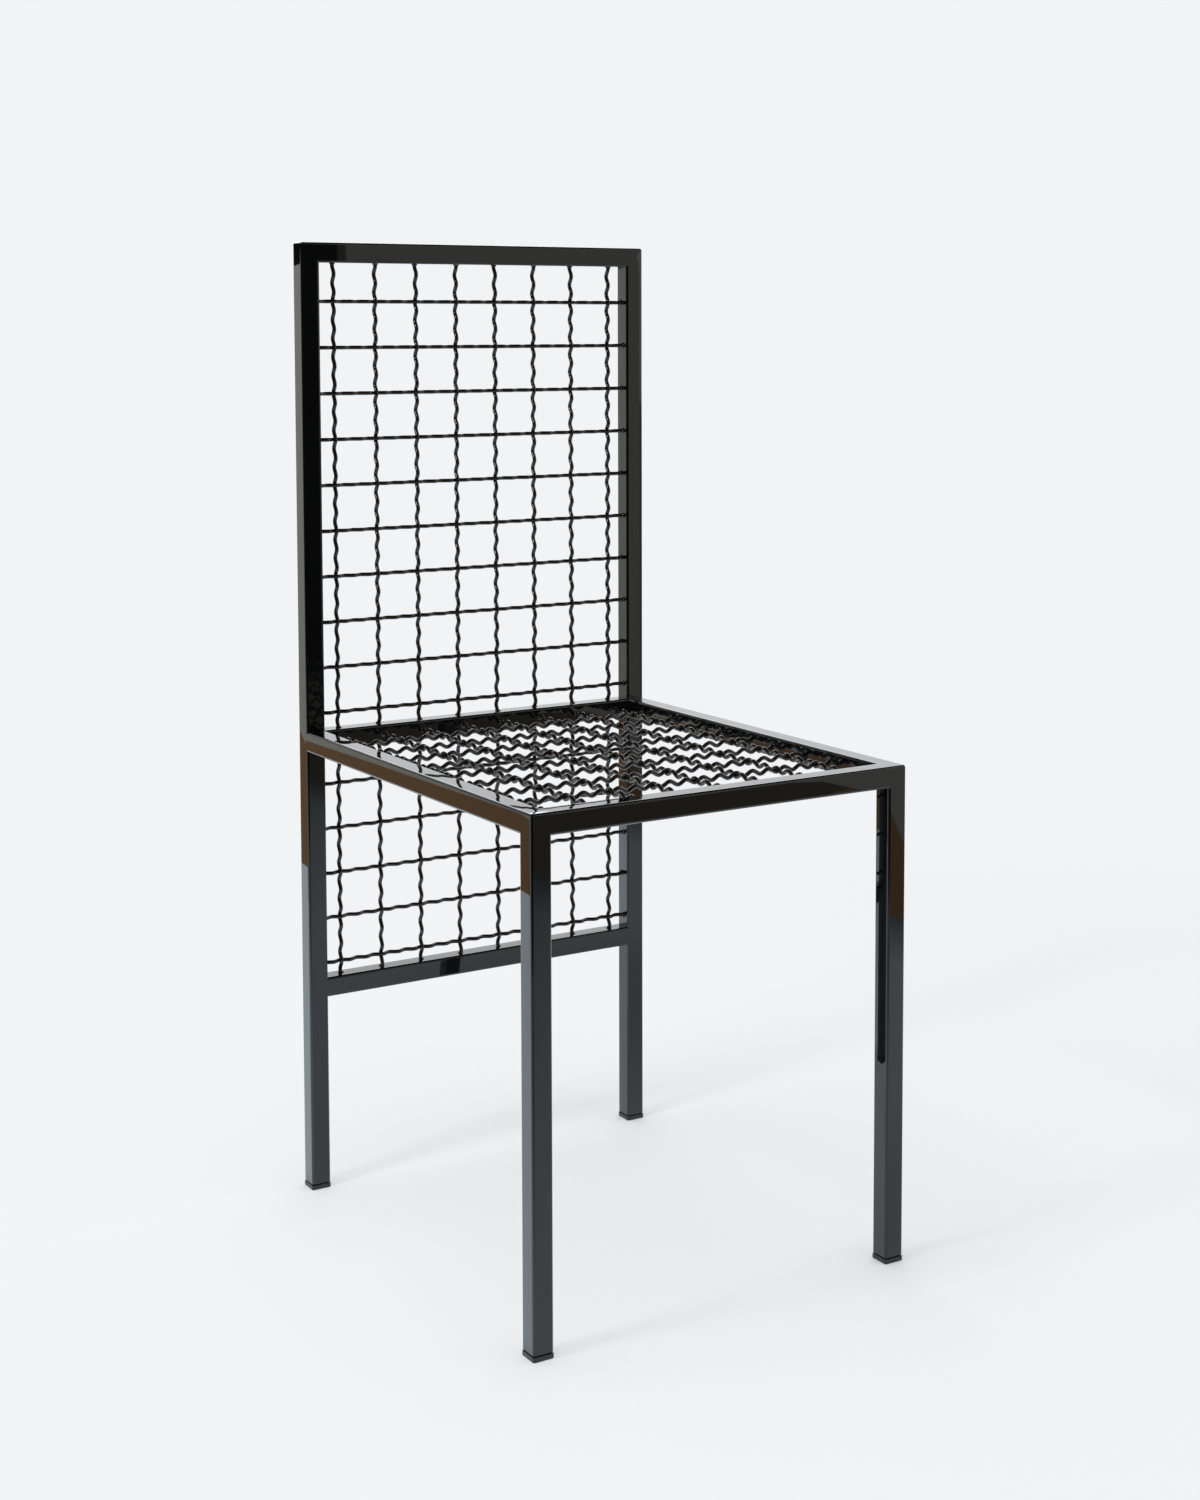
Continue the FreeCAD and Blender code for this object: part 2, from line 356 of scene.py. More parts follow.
@dataclass(frozen=True)
class MouldedPolyethylene:
    """Black low-density polyethylene, moulded in a spark-eroded tool.

    To the eye it is a soft dark grey-black without mirror images, with a fine
    even grain, drawn coarser than the real one so that it shows up close, and
    slight scuffs from the floor. Widths and heights are in millimetres.
    """

    name: str = "moulded_polyethylene"
    colour: str = "#1c1b1a"
    scuffed_colour: str = "#2b2a29"
    index: float = 1.51
    least_roughness: float = 0.15
    most_roughness: float = 0.3
    grain_width: float = 0.6
    grain_height: float = 0.02
    scuff_width: float = 4.0
    scuff_span: Span = (0.55, 0.75)

    def material(self) -> Material:
        """Make the node material of the plastic.

        Returns:
            The new material.
        """
        made = bpy.data.materials.new(self.name)
        tree = new_tree(made)
        place = add_node(tree, "ShaderNodeTexCoord").outputs["Object"]
        grain, scuffs = (
            add_node(
                tree,
                "ShaderNodeTexNoise",
                {"Vector": place, "Scale": per_size(width), "Detail": detail},
            ).outputs[0]
            for width, detail in ((self.grain_width, 2.0), (self.scuff_width, 5.0))
        )
        worn = add_node(
            tree,
            "ShaderNodeMapRange",
            {
                "Value": scuffs,
                "From Min": self.scuff_span[0],
                "From Max": self.scuff_span[1],
            },
        )
        tint = add_node(
            tree,
            "ShaderNodeMix",
            {0: worn.outputs[0], MIX_A: linear(self.colour), MIX_B: linear(self.scuffed_colour)},
            data_type="RGBA",
        )
        rough = add_node(
            tree,
            "ShaderNodeMapRange",
            {
                "Value": worn.outputs[0],
                "To Min": self.least_roughness,
                "To Max": self.most_roughness,
            },
        )
        surface = add_node(
            tree,
            "ShaderNodeBump",
            {"Height": grain, "Distance": self.grain_height * MM, "Strength": 1.0},
        )
        plastic = add_node(
            tree,
            "ShaderNodeBsdfPrincipled",
            {
                "Base Color": tint.outputs[MIX_RESULT],
                "Roughness": rough.outputs[0],
                "IOR": self.index,
                "Normal": surface.outputs[0],
            },
        )
        add_node(tree, "ShaderNodeOutputMaterial", {"Surface": plastic.outputs[0]})
        return made


@dataclass(frozen=True)
class SeamlessPaper:
    """White background paper: matt and even, and it keeps a faint soft shadow.

    The share of the plain background colour rises with the distance, so that the
    paper runs into the backdrop without a horizon. In the gloss of the coat the paper
    glows with painted light and shade: a painted pool of light beside the key lamp,
    painted shade by the camera and at its right edge, and a painted shadow of the
    seat. Places and spans are in metres.
    """

    name: str = "seamless_paper"
    colour: str = "#f6f7f9"
    backdrop: str = "#f2f3f5"
    mirror_tint: str = "#e6f2f9"

    # Share of the plain colour, round the middle of the chair's shadows
    near_share: float = 0.25
    fade_place: Place = (0.55, 0.05, 0.0)
    fade_span: Span = (0.5, 1.3)

    # Painted shade in the paper's mirror image, dark by the camera and rising to the tone near the
    # chair
    painted_camera_shade: float = 0.42
    tone_near: float = 0.9
    from_camera: Place = (0.8, 1.0, 0.0)
    camera_span: Span = (-1.15, -0.5)

    # Painted pool of the key lamp's light in the paper's mirror image, to the left of the chair
    painted_key_light: float = 1.27
    key_span: Span = (-0.5, -0.25)
    side_span: Span = (-0.215, -0.199)

    # Even tone past this distance from the chair
    far_span: Span = (1.8, 3.0)

    # Painted shadow of the seat in the paper's mirror image, to the right of the chair
    painted_seat_shadow: float = 0.75
    shadow_place: Place = (0.45, -0.15, 0.0)
    shadow_span: Span = (0.15, 0.42)

    # Painted shade in the paper's mirror image, darker towards its right edge, where the paper
    # rolls up
    painted_edge_shade: float = 0.35
    rightwards: Place = (0.852, -0.524, 0.0)
    edge_span: Span = (1.22, 1.43)

    def material(self) -> Material:
        """Make the node material of the floor.

        Returns:
            The new material.
        """
        made = bpy.data.materials.new(self.name)
        tree = new_tree(made)
        place = add_node(tree, "ShaderNodeTexCoord").outputs["Object"]
        in_view, mirrored = sight_lines(tree)
        fade = self.plain_share(tree, place)
        eye = add_node(tree, "ShaderNodeMath", {0: fade, 1: in_view}, operation="MULTIPLY")
        share = add_node(
            tree, "ShaderNodeMath", {0: eye.outputs[0], 1: mirrored}, operation="MAXIMUM"
        )
        # Painted light and shade: in the gloss the paper glows in its painted mirror tone
        tone = add_node(
            tree,
            "ShaderNodeMix",
            {0: mirrored, 2: 1.0, 3: self.painted_mirror_tone(tree, place)},
            data_type="FLOAT",
        )
        colour = add_node(
            tree,
            "ShaderNodeMix",
            {0: mirrored, MIX_A: linear(self.backdrop), MIX_B: linear(self.mirror_tint)},
            data_type="RGBA",
        )
        matt = add_node(tree, "ShaderNodeBsdfDiffuse", {"Color": linear(self.colour)})
        even = add_node(
            tree,
            "ShaderNodeEmission",
            {"Color": colour.outputs[MIX_RESULT], "Strength": tone.outputs[0]},
        )
        both = add_node(
            tree,
            "ShaderNodeMixShader",
            {0: share.outputs[0], 1: matt.outputs[0], 2: even.outputs[0]},
        )
        add_node(tree, "ShaderNodeOutputMaterial", {"Surface": both.outputs[0]})
        return made

    def plain_share(self, tree: NodeTree, place: NodeSocket) -> NodeSocket:
        """Share of the plain background colour that the camera sees.

        Args:
            tree: Tree that gets the nodes.
            place: Place on the paper.

        Returns:
            The share, from 0 to 1.
        """
        away = add_node(
            tree, "ShaderNodeVectorMath", {0: place, 1: self.fade_place}, operation="DISTANCE"
        )
        fade = add_node(
            tree,
            "ShaderNodeMapRange",
            {
                "Value": away.outputs["Value"],
                "From Min": self.fade_span[0],
                "From Max": self.fade_span[1],
                "To Min": self.near_share,
                "To Max": 1.0,
            },
            interpolation_type="SMOOTHSTEP",
        )
        return fade.outputs[0]

    def painted_mirror_tone(self, tree: NodeTree, place: NodeSocket) -> NodeSocket:
        """Painted light and shade of the paper where it shows in the gloss of the coat.

        Args:
            tree: Tree that gets the nodes.
            place: Place on the paper.

        Returns:
            The tone, as a share of the backdrop's.
        """
        axes = add_node(tree, "ShaderNodeSeparateXYZ", {0: place})
        nearness = add_node(
            tree, "ShaderNodeVectorMath", {0: place, 1: self.from_camera}, operation="DOT_PRODUCT"
        )
        front = add_node(
            tree,
            "ShaderNodeMapRange",
            {
                "Value": nearness.outputs["Value"],
                "From Min": self.camera_span[0],
                "From Max": self.camera_span[1],
                "To Min": self.painted_camera_shade,
                "To Max": self.tone_near,
            },
        )
        distance = add_node(tree, "ShaderNodeVectorMath", {0: place}, operation="LENGTH")
        # Into the painted pool of the key lamp's light, out of it at its right side, and to the
        # even tone
        tone = front.outputs[0]
        for measure, span, new_tone in (
            (axes.outputs["Y"], self.key_span, self.painted_key_light),
            (axes.outputs["X"], self.side_span, front.outputs[0]),
            (distance.outputs["Value"], self.far_span, 1.0),
        ):
            step = add_node(
                tree,
                "ShaderNodeMapRange",
                {
                    "Value": measure,
                    "From Min": span[0],
                    "From Max": span[1],
                    "To Min": tone,
                    "To Max": new_tone,
                },
            )
            tone = step.outputs[0]
        # Painted shadow of the seat, and painted shade towards the paper's right edge
        to_shadow = add_node(
            tree, "ShaderNodeVectorMath", {0: place, 1: self.shadow_place}, operation="DISTANCE"
        )
        shadow = add_node(
            tree,
            "ShaderNodeMapRange",
            {
                "Value": to_shadow.outputs["Value"],
                "From Min": self.shadow_span[0],
                "From Max": self.shadow_span[1],
                "To Min": self.painted_seat_shadow,
                "To Max": 1.0,
            },
        )
        sideways = add_node(
            tree, "ShaderNodeVectorMath", {0: place, 1: self.rightwards}, operation="DOT_PRODUCT"
        )
        edge = add_node(
            tree,
            "ShaderNodeMapRange",
            {
                "Value": sideways.outputs["Value"],
                "From Min": self.edge_span[0],
                "From Max": self.edge_span[1],
                "To Min": shadow.outputs[0],
                "To Max": self.painted_edge_shade,
            },
        )
        shaded = add_node(
            tree, "ShaderNodeMath", {0: tone, 1: edge.outputs[0]}, operation="MULTIPLY"
        )
        return shaded.outputs[0]


@dataclass(frozen=True)
class PaintedRoomReflection:
    """Painted reflection: a glowing tone of a part of the room, with its light and shade painted
    in, that only shows as a mirror image in the gloss.

    It may run into a second colour from the floor up to a height in metres.
    """

    name: str
    colour: str
    upper_colour: str = ""
    upper_height: float = 0.9

    def material(self) -> Material:
        """Make the node material of the tone.

        Returns:
            The new material.
        """
        made = bpy.data.materials.new(self.name)
        tree = new_tree(made)
        place = add_node(tree, "ShaderNodeTexCoord").outputs["Object"]
        axes = add_node(tree, "ShaderNodeSeparateXYZ", {0: place})
        height = {"Value": axes.outputs["Z"], "From Max": self.upper_height}
        rise = add_node(tree, "ShaderNodeMapRange", height)
        upper = linear(self.upper_colour or self.colour)
        colour = add_node(
            tree,
            "ShaderNodeMix",
            {0: rise.outputs[0], MIX_A: linear(self.colour), MIX_B: upper},
            data_type="RGBA",
        )
        tone = add_node(
            tree, "ShaderNodeEmission", {"Color": colour.outputs[MIX_RESULT], "Strength": 1.0}
        )
        add_node(tree, "ShaderNodeOutputMaterial", {"Surface": tone.outputs[0]})
        return made


# Frame of square tube


@dataclass(frozen=True)
class Mitre:
    """Plane at 45 degrees on which two tubes meet.

    The normal points out of the first tube and into the second.
    """

    first: str
    second: str
    normal: tuple[float, float, float]

    def point(self) -> Vector:
        """Place the plane.

        Returns:
            The middle of the corner block that both tubes' boxes share.
        """
        low_a, high_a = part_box(self.first)
        low_b, high_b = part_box(self.second)
        low = Vector(map(max, low_a, low_b))
        high = Vector(map(min, high_a, high_b))
        return (low + high) / 2

    def outward(self, node: str) -> Vector | None:
        """Normal that points out of a tube, or nothing if the tube isn't cut here."""
        normal = Vector(self.normal).normalized()
        return {self.first: normal, self.second: -normal}.get(node)


@dataclass(frozen=True)
class TubeFrame:
    """Welded frame of square tube, with every joint ground flush.

    The tubes' boxes make one skin, whose outer edges are rounded in one go, and
    the skin is then cut into one piece per tube at the mitres and butt joints.
    """

    corner_radius: float = 2.4 * MM
    corner_segments: int = 5
    wall: float = 1.5 * MM
    open_depth: float = 26 * MM
    joint_slack: float = 0.001 * MM
    smallest_edge: float = 0.02 * MM
    probe_depth: float = 0.1 * MM
    box_decimals: int = 6
    sharp_from: float = 40.0
    flat_weight: int = 100
    open_tubes: tuple[str, ...] = (
        "left_rear_post",
        "right_rear_post",
        "left_front_leg",
        "right_front_leg",
    )
    rails: tuple[str, ...] = (
        "top_rail",
        "rear_seat_rail",
        "lower_rear_rail",
        "left_seat_rail",
        "right_seat_rail",
        "front_seat_rail",
    )
    mitres: tuple[Mitre, ...] = (
        Mitre("left_rear_post", "top_rail", (1, 0, 1)),
        Mitre("right_rear_post", "top_rail", (-1, 0, 1)),
        Mitre("left_seat_rail", "front_seat_rail", (1, -1, 0)),
        Mitre("right_seat_rail", "front_seat_rail", (-1, -1, 0)),
    )

    def build(self, material: Material) -> None:
        """Make all tubes of the frame.

        Args:
            material: Finish of the tubes.
        """
        skin = self.skin()
        for node in (*self.open_tubes, *self.rails):
            self.dress(node, self.cut_out(skin, node), material)
        skin.free()

    def skin(self) -> BMesh:
        """Make the rounded outer skin of the whole frame.

        The boxes' planes divide space into cells. Each cell inside a tube becomes
        a cube, and faces between two such cells are taken out.

        Returns:
            The mesh of the skin.
        """
        boxes = [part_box(node) for node in (*self.open_tubes, *self.rails)]

        def inside(point: Vector) -> bool:
            """Whether a point lies in one of the tubes' boxes."""
            return any(all(low[i] < point[i] < high[i] for i in range(3)) for low, high in boxes)

        planes = [
            sorted({round(corner[i], self.box_decimals) for box in boxes for corner in box})
            for i in range(3)
        ]
        spans = [zip(cuts, cuts[1:]) for cuts in planes]
        shape = bmesh.new()
        for (x_low, x_high), (y_low, y_high), (z_low, z_high) in itertools.product(*spans):
            low, high = Vector((x_low, y_low, z_low)), Vector((x_high, y_high, z_high))
            if inside((low + high) / 2):
                block(shape, low, high)
        shape.normal_update()
        hidden = [
            face
            for face in shape.faces
            if inside(face.calc_center_median() + face.normal * self.probe_depth)
        ]
        bmesh.ops.delete(shape, geom=hidden, context="FACES")
        bmesh.ops.remove_doubles(shape, verts=shape.verts, dist=self.smallest_edge)
        # The lower ends of the posts and legs keep their sharp sawn rims
        end_z = planes[2][0]
        outer = [
            edge
            for edge in shape.edges
            if edge.calc_face_angle_signed(0) > FOLD
            and max(vert.co.z for vert in edge.verts) > end_z + MM
        ]
        round_edges(shape, outer, self.corner_radius, self.corner_segments)
        return shape

    def cut_out(self, skin: BMesh, node: str) -> BMesh:
        """Cut the piece of one tube out of the skin and close it.

        Args:
            skin: Skin of the whole frame, which stays as it is.
            node: Node of the tube.

        Returns:
            The tube's own mesh.
        """
        shape = skin.copy()
        low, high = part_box(node)
        for axis in (X_AXIS, Y_AXIS, Z_AXIS):
            keep_inside(shape, high + axis * self.joint_slack, axis)
            keep_inside(shape, low - axis * self.joint_slack, -axis)
        for mitre in self.mitres:
            outward = mitre.outward(node)
            if outward:
                keep_inside(shape, mitre.point(), outward)
        bmesh.ops.remove_doubles(shape, verts=shape.verts, dist=self.smallest_edge)
        bmesh.ops.dissolve_degenerate(shape, edges=shape.edges, dist=self.smallest_edge)
        bmesh.ops.holes_fill(shape, edges=[edge for edge in shape.edges if edge.is_boundary])
        if node in self.open_tubes:
            self.open_end(shape, low.z)
        return shape

    def open_end(self, shape: BMesh, end_z: float) -> None:
        """Sink the lower end of a tube, which leaves its wall round the foot's stem.

        Args:
            shape: Mesh of the tube.
            end_z: Height of its lower end.
        """
        shape.normal_update()
        end = [
            face
            for face in shape.faces
            if face.normal.z < -FACING and face.calc_center_median().z < end_z + MM
        ]
        bmesh.ops.inset_region(shape, faces=end, thickness=self.wall, use_even_offset=True)
        sunk = bmesh.ops.extrude_discrete_faces(shape, faces=end)["faces"]
        bottom = [vert for face in sunk for vert in face.verts]
        bmesh.ops.translate(shape, vec=Z_AXIS * self.open_depth, verts=bottom)

    def dress(self, node: str, shape: BMesh, material: Material) -> None:
        """Make the object of a tube, whose flats shade flat up to the rounded corners.

        Args:
            node: Node that it replaces.
            shape: Its mesh, which is freed.
            material: Its finish.
        """
        shade(shape, self.sharp_from)
        tube = finish_piece(f"{node}_tube", shape, material, Slot.FRAME, node)
        weighted = tube.modifiers.new("FlatFaces", "WEIGHTED_NORMAL")
        weighted.weight = self.flat_weight
        weighted.keep_sharp = True


@dataclass(frozen=True)
class PushInFoot:
    """Moulded foot: a rounded head under the tube, and a stem with fins in its bore."""

    node: str
    head_height: float = 6 * MM
    corner_radius: float = 2.3 * MM
    corner_segments: int = 5
    floor_radius: float = 0.9 * MM
    floor_segments: int = 3
    rim_radius: float = 0.3 * MM
    rim_segments: int = 2
    groove_height: float = 1.2 * MM
    neck_side: float = 17.4 * MM
    stem_side: float = 12 * MM
    fin_side: float = 16.7 * MM
    fin_thickness: float = 1.2 * MM
    fin_spacing: float = 5 * MM
    fin_count: int = 3
    sharp_from: float = 40.0
    level_slack: float = 0.01 * MM

    def build(self, material: Material) -> None:
        """Make the foot.

        Args:
            material: Finish of the foot.
        """
        shape = bmesh.new()
        low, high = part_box(self.node)
        middle = (low + high) / 2
        self.head(shape, low, high)
        for bottom, top, side in self.levels(low.z + self.head_height, high.z):
            half = Vector((side / 2, side / 2, 0))
            floor = Vector((middle.x, middle.y, 0))
            block(shape, floor - half + Z_AXIS * bottom, floor + half + Z_AXIS * top)
        shade(shape, self.sharp_from)
        foot = finish_piece(f"{self.node}_cap", shape, material, Slot.FOOT, self.node)
        foot.modifiers.new("FlatFaces", "WEIGHTED_NORMAL").keep_sharp = True

    def head(self, shape: BMesh, low: Vector, high: Vector) -> None:
        """Start the foot with its head, rounded on its corners and rims.

        Args:
            shape: Empty mesh that gets the head.
            low: Lowest corner of the foot.
            high: Highest corner of the foot.
        """
        top = low.z + self.head_height - self.groove_height
        block(shape, low, Vector((high.x, high.y, top)))
        upright = [
            edge for edge in shape.edges if abs((edge.verts[0].co - edge.verts[1].co).z) > MM
        ]
        round_edges(shape, upright, self.corner_radius, self.corner_segments)
        for height, radius, segments in (
            (low.z, self.floor_radius, self.floor_segments),
            (top, self.rim_radius, self.rim_segments),
        ):
            rim = [
                edge
                for edge in shape.edges
                if all(abs(vert.co.z - height) < self.level_slack for vert in edge.verts)
                and edge.calc_face_angle(0) > FOLD
            ]
            round_edges(shape, rim, radius, segments)

    def levels(self, bottom: float, top: float) -> list[tuple[float, float, float]]:
        """List the neck in the groove, the stem, and the fins.

        Args:
            bottom: Height of the tube's end.
            top: Height of the stem's end.

        Returns:
            Bottom, top and side of each.
        """
        neck = (bottom - self.groove_height, bottom, self.neck_side)
        stem = (bottom, top, self.stem_side)
        first = top - self.fin_thickness
        fins = [first - index * self.fin_spacing for index in range(self.fin_count)]
        return [neck, stem, *((fin, fin + self.fin_thickness, self.fin_side) for fin in fins)]


# Woven wire


@dataclass(frozen=True)
class CrimpedWire:
    """Round wire crimped in even waves, with a weld bead on each end.

    start and end are the ends of its middle line, swing is the direction of its
    first crest, and crest is how far that lies from the start.
    """

    start: Vector
    end: Vector
    swing: Vector
    crest: float
    half_wave: float
    diameter: float = 4.1 * MM
    height: float = 1.9 * MM
    sides: int = 10
    rings_per_half_wave: int = 6
    sharp_from: float = 60.0
    bead_width: float = 6.2 * MM
    bead_height: float = 4.4 * MM
    # Share by which a bead is uneven, its lumps over its radius, and the noise's
    # steps per metre of the wire's start and of the bead's place
    bead_unevenness: float = 0.22
    bead_lumps: float = 1.3
    wire_seed: float = 500.0
    bead_seed: float = 300.0

    def wave(self, along: float) -> tuple[float, float]:
        """Follow the crimps of the middle line.

        Args:
            along: Place along the wire.

        Returns:
            The line's offset there, and its slope.
        """
        phase = math.pi * (along - self.crest) / self.half_wave
        steepest = -self.height * math.pi / self.half_wave
        return self.height * math.cos(phase), steepest * math.sin(phase)

    def shape(self) -> BMesh:
        """Make the wire and its beads in place.

        Returns:
            Their mesh.
        """
        direction = (self.end - self.start).normalized()
        length = (self.end - self.start).length
        wire = bmesh.new()
        radius = self.diameter / 2
        bmesh.ops.create_cone(
            wire, cap_ends=True, segments=self.sides, radius1=radius, radius2=radius, depth=length
        )
        bmesh.ops.translate(wire, vec=Z_AXIS * length / 2, verts=wire.verts)
        long_edges = [
            edge
            for edge in wire.edges
            if abs((edge.verts[0].co - edge.verts[1].co).z) > length / 2
        ]
        rings = round(length / self.half_wave * self.rings_per_half_wave)
        bmesh.ops.subdivide_edges(wire, edges=long_edges, cuts=rings - 1, use_grid_fill=False)
        for vert in wire.verts:
            offset, slope = self.wave(vert.co.z)
            turn = math.atan(slope)
            vert.co.z -= vert.co.x * math.sin(turn)
            vert.co.x = offset + vert.co.x * math.cos(turn)
        for along in (0, length):
            self.add_bead(wire, Vector((self.wave(along)[0], 0, along)))
        shade(wire, self.sharp_from)
        axes = Matrix((self.swing, direction.cross(self.swing), direction)).transposed().to_4x4()
        bmesh.ops.transform(wire, matrix=Matrix.Translation(self.start) @ axes, verts=wire.verts)
        return wire

    def add_bead(self, wire: BMesh, place: Vector) -> None:
        """Add an uneven lump of weld round one end.

        Args:
            wire: Mesh that gets the bead.
            place: Middle of the bead, before the wire is put in place.
        """
        size = Vector((self.bead_width, self.bead_width, self.bead_height)) / 2
        bead = bmesh.ops.create_icosphere(wire, subdivisions=2, radius=1)["verts"]
        # Each bead gets its own stretch of noise from its place
        seed = self.start * self.wire_seed + place * self.bead_seed
        for vert in bead:
            lump = 1 + self.bead_unevenness * noise.noise(vert.co * self.bead_lumps + seed)
            vert.co = place + Vector(a * b for a, b in zip(vert.co, size)) * lump


@dataclass(frozen=True)
class WovenPanel:
    """Panel of crimped mesh: upright or long wires, and rows across them.

    Each crossing lies on a crest of both wires, on opposite sides, and an odd
    number of half waves lies between two crossings. along is the direction of the
    uprights, and normal is the side on which the first row passes the first
    upright. Where there are fewer nodes than rows, the first node has them all.
    """

    name: str
    uprights: tuple[str, ...]
    rows: tuple[str, ...]
    row_count: int
    along: Vector
    normal: Vector
    half_waves: int = 5

    def build(self, material: Material) -> None:
        """Weave the panel.

        Args:
            material: Finish of the wires.
        """
        boxes = [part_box(node) for node in self.uprights]
        lowest, highest = boxes[0]
        half_section = (highest - lowest).x / 2
        columns = [((low + high) / 2).x for low, high in boxes]
        low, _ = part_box(self.rows[0])
        _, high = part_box(self.rows[-1])
        first_row = low.dot(self.along) + half_section
        last_row = high.dot(self.along) - half_section
        spacing = (last_row - first_row) / (self.row_count - 1)
        half_wave = spacing / self.half_waves
        plane = ((lowest + highest) / 2).dot(self.normal) * self.normal

        bottom = lowest.dot(self.along) * self.along
        top = highest.dot(self.along) * self.along
        crest = first_row - bottom.dot(self.along)
        for index, (node, column) in enumerate(zip(self.uprights, columns)):
            line = plane + X_AXIS * column
            swing = self.normal * -((-1) ** index)
            wire = CrimpedWire(line + bottom, line + top, swing, crest, half_wave)
            self.dress(node, wire.shape(), material)

        left, right = X_AXIS * low.x, X_AXIS * high.x
        crest = columns[0] - low.x
        shapes = []
        for index in range(self.row_count):
            line = plane + self.along * (first_row + index * spacing)
            swing = self.normal * (-1) ** index
            wire = CrimpedWire(line + left, line + right, swing, crest, half_wave)
            shapes.append(wire.shape())
        if len(self.rows) < self.row_count:
            shapes = [self.joined(shapes)]
        for node, shape in zip(self.rows, shapes):
            self.dress(node, shape, material)

    @staticmethod
    def dress(node: str, shape: BMesh, material: Material) -> None:
        """Make the object that stands for one node of wire."""
        finish_piece(f"{node}_crimped", shape, material, Slot.WIRE, node)

    @staticmethod
    def joined(shapes: list[BMesh]) -> BMesh:
        """Join several meshes.

        Args:
            shapes: The meshes, which are freed.

        Returns:
            One mesh of all of them.
        """
        whole = bmesh.new()
        for shape in shapes:
            part = bpy.data.meshes.new("part")
            shape.to_mesh(part)
            shape.free()
            whole.from_mesh(part)
            bpy.data.meshes.remove(part)
        return whole


# Studio


@dataclass(frozen=True)
class PhotoCamera:
    """Camera at the photograph's place, with a shifted lens that frames the whole chair.

    The angles are in degrees, the lens and its sensor in millimetres, and the
    lens's drop is a share of the sensor's width.
    """

    place: Place = (-1.1003, -1.8096, 0.8657)
    yaw: float = 31.598
    pitch: float = 4.417
    roll: float = -0.1526
    lens: float = 53.704
    lens_drop: float = -0.16568
    sensor_width: float = 36.0

    def axes(self) -> tuple[Vector, Vector, Vector]:
        """Turn the angles into directions.

        Returns:
            Directions to the camera's right, up and forward.
        """
        yaw, pitch, roll = (math.radians(angle) for angle in (self.yaw, self.pitch, self.roll))
        level = math.cos(pitch)
        forward = Vector((math.sin(yaw) * level, math.cos(yaw) * level, -math.sin(pitch)))
        sideways = Vector((math.cos(yaw), -math.sin(yaw), 0))
        upward = sideways.cross(forward)
        right = sideways * math.cos(roll) + upward * math.sin(roll)
        return right, right.cross(forward), forward

    def build(self) -> None:
        """Add the camera and make it the scene's."""
        data = bpy.data.cameras.new("photo_camera")
        data.lens = self.lens
        data.sensor_width = self.sensor_width
        data.shift_y = self.lens_drop
        camera = bpy.data.objects.new("photo_camera", data)
        right, upward, forward = self.axes()
        turn = Matrix((right, upward, -forward)).transposed().to_4x4()
        camera.matrix_world = Matrix.Translation(self.place) @ turn
        bpy.context.scene.collection.objects.link(camera)
        bpy.context.scene.camera = camera

    def on_floor(self, side: float, ahead: float, height: float = 0.0) -> Vector:
        """Find a place from where the camera stands.

        Args:
            side: How far it lies to the right of the camera's axis.
            ahead: How far it lies ahead of the camera.
            height: How far it lies above the floor.

        Returns:
            The place.
        """
        yaw = math.radians(self.yaw)
        right = Vector((math.cos(yaw), -math.sin(yaw), 0))
        forward = Vector((math.sin(yaw), math.cos(yaw), 0))
        foot = Vector((self.place[0], self.place[1], height))
        return foot + right * side + forward * ahead


@dataclass(frozen=True)
class Softbox:
    """Rectangular lamp behind cloth, aimed at a point and unseen by the camera itself."""

    name: str
    place: Place
    aim: Place
    width: float
    height: float
    brightness: float
    mirrored: bool = True

    def build(self) -> None:
        """Add the lamp."""
        data = bpy.data.lights.new(self.name, "AREA")
        data.shape = "RECTANGLE"
        data.size, data.size_y = self.width, self.height
        data.energy = self.brightness * math.pi * self.width * self.height
        lamp = bpy.data.objects.new(self.name, data)
        toward = (Vector(self.aim) - Vector(self.place)).normalized()
        turn = toward.to_track_quat("-Z", "Y").to_matrix().to_4x4()
        lamp.matrix_world = Matrix.Translation(self.place) @ turn
        lamp.visible_camera = False
        lamp.visible_glossy = self.mirrored
        bpy.context.scene.collection.objects.link(lamp)


def add_surroundings(
    name: str, shape: BMesh, material: Material, mirrored_only: bool = True
) -> None:
    """Add a surface that isn't part of the chair.

    Args:
        name: Name of its object.
        shape: Its mesh, which is freed.
        material: Its material.
        mirrored_only: Whether it shows only in glossy surfaces.
    """
    surface = add_object(name, shape, material)
    if mirrored_only:
        surface.visible_camera = False
        surface.visible_diffuse = False
        surface.visible_shadow = False


@dataclass(frozen=True)
class LevelPatch:
    """Level rectangle, square to the camera's axis.

    left and right are its sides from that axis, and near and far its ends from
    the camera, in metres.
    """

    left: float
    right: float
    near: float
    far: float

    def shape(self, camera: PhotoCamera, height: float) -> BMesh:
        """Make the rectangle.

        Args:
            camera: Camera that it is square to.
            height: Its height above the floor.

        Returns:
            Its mesh.
        """
        made = bmesh.new()
        bmesh.ops.create_grid(made, x_segments=1, y_segments=1, size=0.5)
        origin = camera.on_floor(0, 0)
        across = (camera.on_floor(1, 0) - origin) * (self.right - self.left)
        ahead = (camera.on_floor(0, 1) - origin) * (self.far - self.near)
        middle = camera.on_floor((self.left + self.right) / 2, (self.near + self.far) / 2, height)
        turn = Matrix((across, ahead, Z_AXIS)).transposed().to_4x4()
        bmesh.ops.transform(made, matrix=Matrix.Translation(middle) @ turn, verts=made.verts)
        return made


